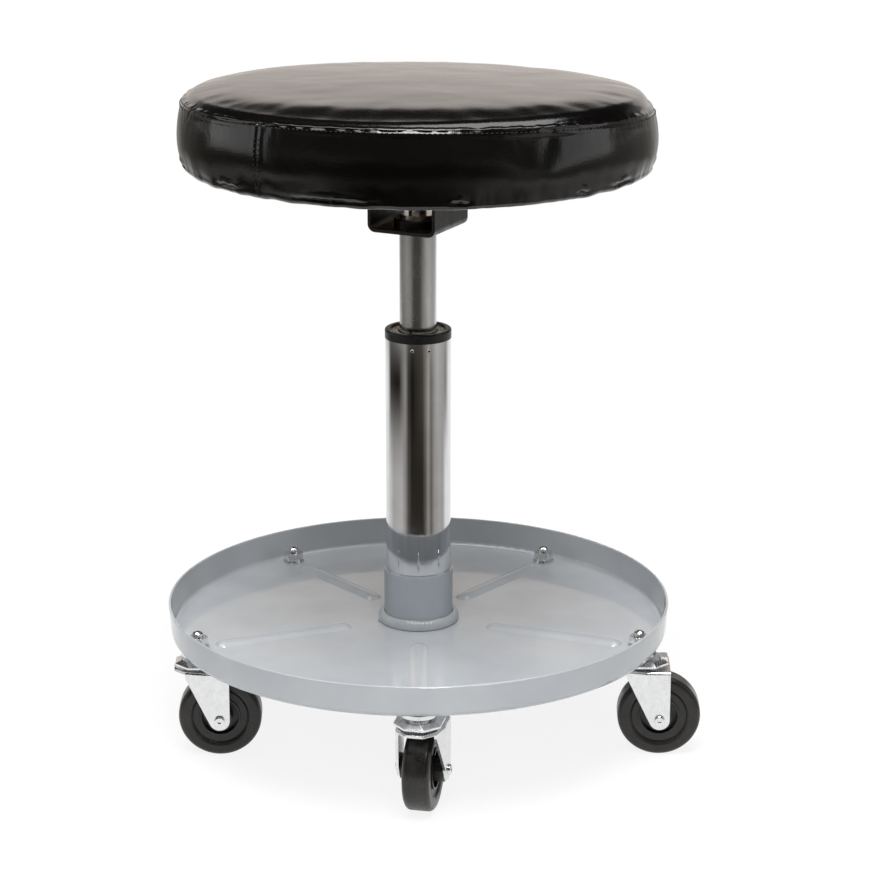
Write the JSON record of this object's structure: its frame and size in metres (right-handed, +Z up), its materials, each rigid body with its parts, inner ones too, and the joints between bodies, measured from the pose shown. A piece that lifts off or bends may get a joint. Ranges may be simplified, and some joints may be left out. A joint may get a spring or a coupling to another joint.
{
  "type": "rolling workshop stool",
  "caption": "Height-adjustable rolling work stool with a round padded seat, gas lift column, round tool tray and swivel castors under the tray.",
  "frame": {"origin": "on the column axis at floor level, under the middle of the tray", "axes": "+Z up along the column; -Y towards the front castor, the side that faced the viewer; +X to the viewer's right"},
  "size_m": [0.4106, 0.3904, 0.5115],
  "materials": {
    "tray_paint": "glossy baked enamel, light blue grey",
    "socket_paint": "baked enamel, light blue grey",
    "weld_paint": "glossy enamel over a rippled weld bead",
    "polished_chrome": "mirror chrome plate",
    "satin_chrome": "hard chrome, ground",
    "zinc_plate": "bright zinc plate",
    "bearing_steel": "polished",
    "plain_steel": "oiled spring steel",
    "black_paint": "semi-gloss black paint",
    "black_plastic": "moulded black plastic",
    "grey_plastic": "moulded light grey acetal",
    "wheel_plastic": "moulded black plastic, satin",
    "plywood": "raw birch plywood",
    "foam": "open-cell foam",
    "cover_leather": "glossy black coated cloth with a fine grain"
  },
  "bodies": {
    "base": {"tool_tray": "tray_paint", "column_socket": "socket_paint", "socket_weld": "weld_paint", "column_tube": "polished_chrome", "guide_bushing": "grey_plastic", "top_ring": "black_plastic", "ring_retainer": "grey_plastic", "foot_plate": "plain_steel", "lower_race": "bearing_steel", "ball_cage": "grey_plastic", "thrust_balls": "bearing_steel", "castor_stems": "zinc_plate", "race_rings": "grey_plastic", "stem_washers": "zinc_plate", "spring_washers": "zinc_plate", "stem_nuts": "zinc_plate"},
    "rod": {"piston_rod": "satin_chrome", "piston": "grey_plastic", "upper_race": "bearing_steel", "rod_clip": "plain_steel"},
    "seat": {"gas_cylinder": "satin_chrome", "rod_guide": "black_plastic", "taper_sleeve": "black_plastic", "seat_bracket": "black_paint", "bracket_screws": "zinc_plate", "tee_nuts": "zinc_plate", "seat_board": "plywood", "foam_pad": "foam", "seat_cover": "cover_leather", "cover_staples": "plain_steel", "lever_pin": "plain_steel"},
    "lever": {"release_lever": "black_paint", "lever_grip": "black_plastic"},
    "button": {"valve_button": "bearing_steel"},
    "fork_1": {"castor_fork_1": "zinc_plate", "castor_plate_1": "zinc_plate", "castor_axle_1": "zinc_plate"},
    "wheel_1": {"castor_wheel_1": "wheel_plastic"},
    "fork_2": {"castor_fork_2": "zinc_plate", "castor_plate_2": "zinc_plate", "castor_axle_2": "zinc_plate"},
    "wheel_2": {"castor_wheel_2": "wheel_plastic"},
    "fork_3": {"castor_fork_3": "zinc_plate", "castor_plate_3": "zinc_plate", "castor_axle_3": "zinc_plate"},
    "wheel_3": {"castor_wheel_3": "wheel_plastic"},
    "fork_4": {"castor_fork_4": "zinc_plate", "castor_plate_4": "zinc_plate", "castor_axle_4": "zinc_plate"},
    "wheel_4": {"castor_wheel_4": "wheel_plastic"},
    "fork_5": {"castor_fork_5": "zinc_plate", "castor_plate_5": "zinc_plate", "castor_axle_5": "zinc_plate"},
    "wheel_5": {"castor_wheel_5": "wheel_plastic"}
  },
  "joints": [
    {"name": "seat_swivel", "type": "hinge", "parent": "base", "child": "rod", "pos_m": [0, 0, 0.085], "axis": [0, 0, 1], "continuous": true},
    {"name": "height_slide", "type": "slide", "parent": "rod", "child": "seat", "axis": [0, 0, 1], "range_m": [-0.06, 0.055]},
    {"name": "lever_tilt", "type": "hinge", "parent": "seat", "child": "lever", "pos_m": [0.00674, 0.0134, 0.428], "axis": [0.8934, -0.4493, 0], "range_deg": [0, 6], "stiffness_Nm_per_rad": 2, "springref_deg": -3.44},
    {"name": "valve_press", "type": "slide", "parent": "seat", "child": "button", "axis": [0, 0, -1], "range_m": [0, 0.0016]},
    {"name": "castor_swivel_1", "type": "hinge", "parent": "base", "child": "fork_1", "pos_m": [0, -0.177, 0.072], "axis": [0, 0, 1], "continuous": true},
    {"name": "wheel_spin_1", "type": "hinge", "parent": "fork_1", "child": "wheel_1", "pos_m": [0.00346, -0.16138, 0.03175], "axis": [-0.9763, 0.2164, 0], "continuous": true},
    {"name": "castor_swivel_2", "type": "hinge", "parent": "base", "child": "fork_2", "pos_m": [0.16834, -0.0547, 0.072], "axis": [0, 0, 1], "continuous": true},
    {"name": "wheel_spin_2", "type": "hinge", "parent": "fork_2", "child": "wheel_2", "pos_m": [0.18433, -0.05525, 0.03175], "axis": [0.0349, 0.9994, 0], "continuous": true},
    {"name": "castor_swivel_3", "type": "hinge", "parent": "base", "child": "fork_3", "pos_m": [0.10404, 0.1432, 0.072], "axis": [0, 0, 1], "continuous": true},
    {"name": "wheel_spin_3", "type": "hinge", "parent": "fork_3", "child": "wheel_3", "pos_m": [0.11817, 0.15071, 0.03175], "axis": [-0.4695, 0.8829, 0], "continuous": true},
    {"name": "castor_swivel_4", "type": "hinge", "parent": "base", "child": "fork_4", "pos_m": [-0.10404, 0.1432, 0.072], "axis": [0, 0, 1], "continuous": true},
    {"name": "wheel_spin_4", "type": "hinge", "parent": "fork_4", "child": "wheel_4", "pos_m": [-0.08839, 0.13987, 0.03175], "axis": [0.2079, 0.9781, 0], "continuous": true},
    {"name": "castor_swivel_5", "type": "hinge", "parent": "base", "child": "fork_5", "pos_m": [-0.16834, -0.0547, 0.072], "axis": [0, 0, 1], "continuous": true},
    {"name": "wheel_spin_5", "type": "hinge", "parent": "fork_5", "child": "wheel_5", "pos_m": [-0.15234, -0.05442, 0.03175], "axis": [-0.0175, 0.9998, 0], "continuous": true}
  ],
  "couplings": [
    {"joint": "valve_press", "follows": "lever_tilt", "m_per_rad": 0.015}
  ]
}
